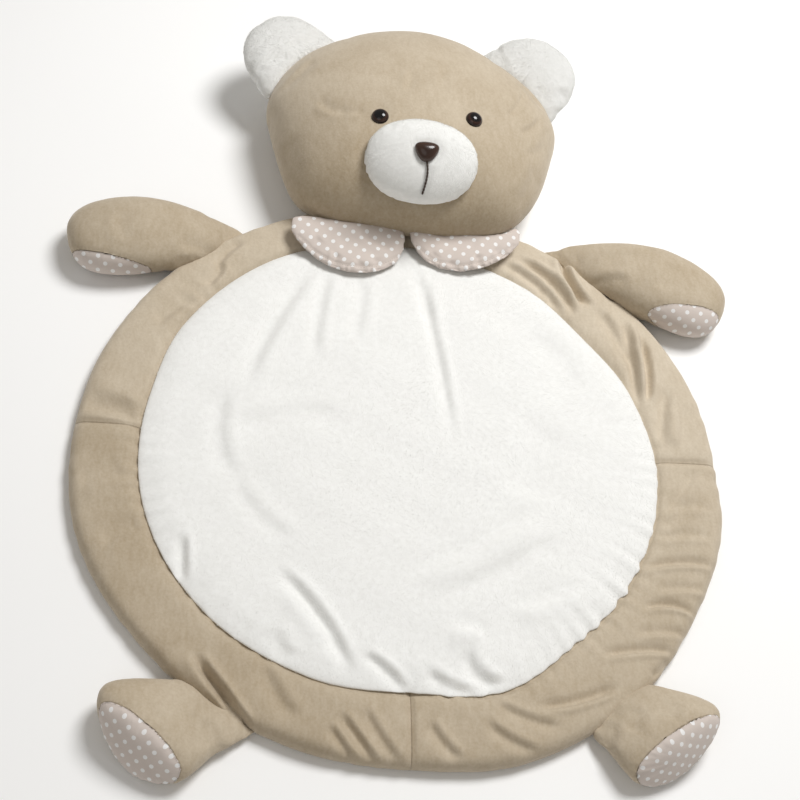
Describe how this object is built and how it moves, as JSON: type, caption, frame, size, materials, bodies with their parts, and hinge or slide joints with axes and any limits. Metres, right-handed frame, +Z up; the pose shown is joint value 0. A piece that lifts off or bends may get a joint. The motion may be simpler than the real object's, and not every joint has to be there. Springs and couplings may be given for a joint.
{
  "type": "bear shaped kids rug",
  "caption": "Round padded nursery floor mat with a white plush centre, beige velour border, stuffed teddy head, arms and feet sewn to its edge and a dotted collar",
  "frame": {"origin": "centre of the mat's flat underside, on the floor", "axes": "+Z up from the floor, +Y toward the head, +X to the right as seen from the feet"},
  "size_m": [0.8818, 1.1095, 0.174],
  "materials": {
    "white_plush": "short brushed plush",
    "beige_velour": "smooth velour with a soft nap",
    "dotted_cotton": "plain weave with small white dots",
    "nose_plastic": "moulded, glossy",
    "eye_plastic": "moulded, glossy",
    "brown_thread": "thick sewn thread"
  },
  "bodies": {
    "root": {"mat_centre": "white_plush", "border_upper": "beige_velour", "border_lower_left": "beige_velour", "border_lower_right": "beige_velour", "head": "beige_velour", "muzzle": "white_plush", "nose": "nose_plastic", "mouth_stitch": "brown_thread", "ear_left": "white_plush", "ear_right": "white_plush", "eye_left": "eye_plastic", "eye_right": "eye_plastic", "collar_left": "dotted_cotton", "collar_right": "dotted_cotton", "arm_left": "beige_velour", "arm_right": "beige_velour", "paw_pad_left": "dotted_cotton", "paw_pad_right": "dotted_cotton", "foot_left": "beige_velour", "foot_right": "beige_velour", "sole_left": "dotted_cotton", "sole_right": "dotted_cotton"}
  },
  "joints": []
}
